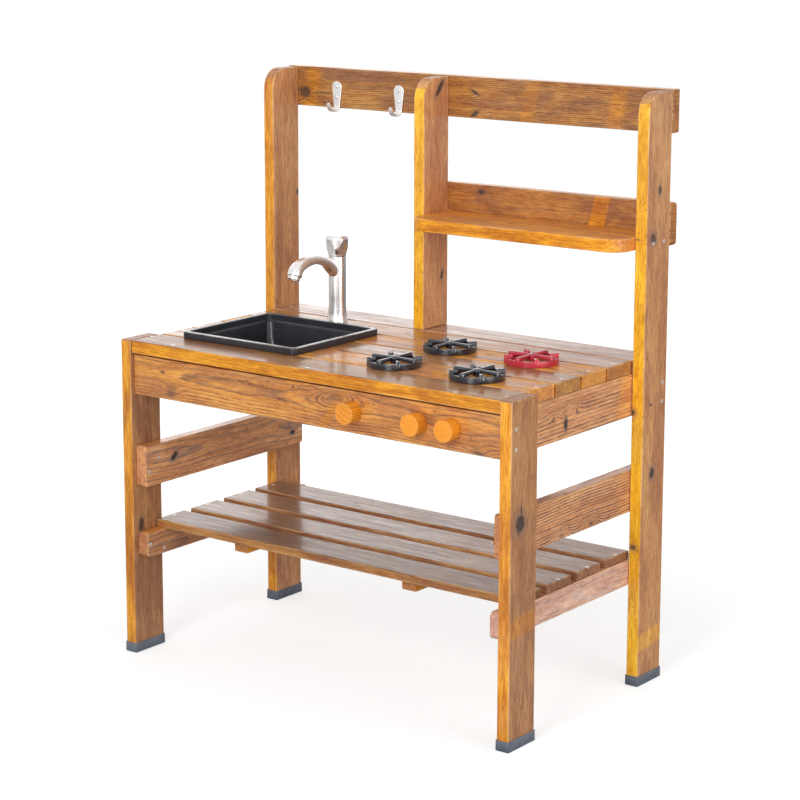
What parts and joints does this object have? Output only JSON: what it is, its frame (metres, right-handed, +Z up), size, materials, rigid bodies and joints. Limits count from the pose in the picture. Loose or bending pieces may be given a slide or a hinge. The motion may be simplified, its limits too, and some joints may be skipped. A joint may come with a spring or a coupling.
{
  "type": "mud kitchen",
  "caption": "Child's outdoor play kitchen of stained pine boards with a drop-in basin, tap, hob rings, turning knobs, a slatted lower shelf, a tall back with an upper shelf, and coat hooks.",
  "frame": {"origin": "on the floor, under the middle of the whole object's box", "axes": "+X to the right seen from the front, towards the hob side; +Y to the back, from the knobs to the top rail; +Z up"},
  "size_m": [1.0188, 0.6178, 1.248],
  "materials": {
    "stained_pine": "brown-orange stain and clear satin varnish over planed pine",
    "turned_pine": "light orange stain, satin",
    "black_plastic": "moulded black plastic, semi-gloss",
    "hob_black": "moulded charcoal black, glossy",
    "hob_red": "moulded crimson, satin",
    "brushed_steel": "brushed nickel",
    "satin_steel": "satin plated steel",
    "zinc": "bright zinc plate"
  },
  "bodies": {
    "frame": {"leg_front_left": "stained_pine", "leg_front_right": "stained_pine", "upright_rear_left": "stained_pine", "upright_rear_right": "stained_pine", "upright_middle": "stained_pine", "foot_cap_front_left": "black_plastic", "foot_cap_front_right": "black_plastic", "foot_cap_rear_left": "black_plastic", "foot_cap_rear_right": "black_plastic", "apron_front": "stained_pine", "apron_rear": "stained_pine", "apron_left": "stained_pine", "apron_right": "stained_pine", "worktop_bearer": "stained_pine", "worktop_board_1": "stained_pine", "worktop_board_2_left": "stained_pine", "worktop_board_2_right": "stained_pine", "worktop_board_3_left": "stained_pine", "worktop_board_3_right": "stained_pine", "worktop_board_4": "stained_pine", "worktop_board_5": "stained_pine", "worktop_board_6": "stained_pine", "middle_rail_left": "stained_pine", "middle_rail_right": "stained_pine", "bottom_rail_left": "stained_pine", "bottom_rail_right": "stained_pine", "shelf_slat_1": "stained_pine", "shelf_slat_2": "stained_pine", "shelf_slat_3": "stained_pine", "shelf_slat_4": "stained_pine", "shelf_batten_left": "stained_pine", "shelf_batten_right": "stained_pine", "top_rail": "stained_pine", "shelf_rail": "stained_pine", "upper_shelf": "stained_pine", "sink_basin": "black_plastic", "tap_body": "brushed_steel", "tap_aerator": "satin_steel", "tap_lock_nut": "zinc", "hob_front_left": "hob_black", "hob_rear_left": "hob_black", "hob_front_right": "hob_black", "hob_rear_right": "hob_red", "hob_screw_front_left": "zinc", "hob_screw_rear_left": "zinc", "hob_screw_front_right": "zinc", "hob_screw_rear_right": "zinc", "hook_left": "satin_steel", "hook_right": "satin_steel", "hook_screw_left_upper": "zinc", "hook_screw_left_lower": "zinc", "hook_screw_right_upper": "zinc", "hook_screw_right_lower": "zinc"},
    "left_knob": {"knob_left": "turned_pine", "knob_screw_left": "zinc"},
    "middle_knob": {"knob_middle": "turned_pine", "knob_screw_middle": "zinc"},
    "right_knob": {"knob_right": "turned_pine", "knob_screw_right": "zinc"},
    "handle": {"tap_handle": "brushed_steel"}
  },
  "joints": [
    {"name": "left_knob_turn", "type": "hinge", "parent": "frame", "child": "left_knob", "pos_m": [0.118, -0.2789, 0.6242], "axis": [0, -1, 0], "continuous": true},
    {"name": "middle_knob_turn", "type": "hinge", "parent": "frame", "child": "middle_knob", "pos_m": [0.28, -0.2789, 0.6242], "axis": [0, -1, 0], "continuous": true},
    {"name": "right_knob_turn", "type": "hinge", "parent": "frame", "child": "right_knob", "pos_m": [0.361, -0.2789, 0.6242], "axis": [0, -1, 0], "continuous": true},
    {"name": "tap_handle_turn", "type": "hinge", "parent": "frame", "child": "handle", "pos_m": [-0.2535, 0.1381, 0.8495], "axis": [0, 0, 1], "range_deg": [0, 90]}
  ]
}
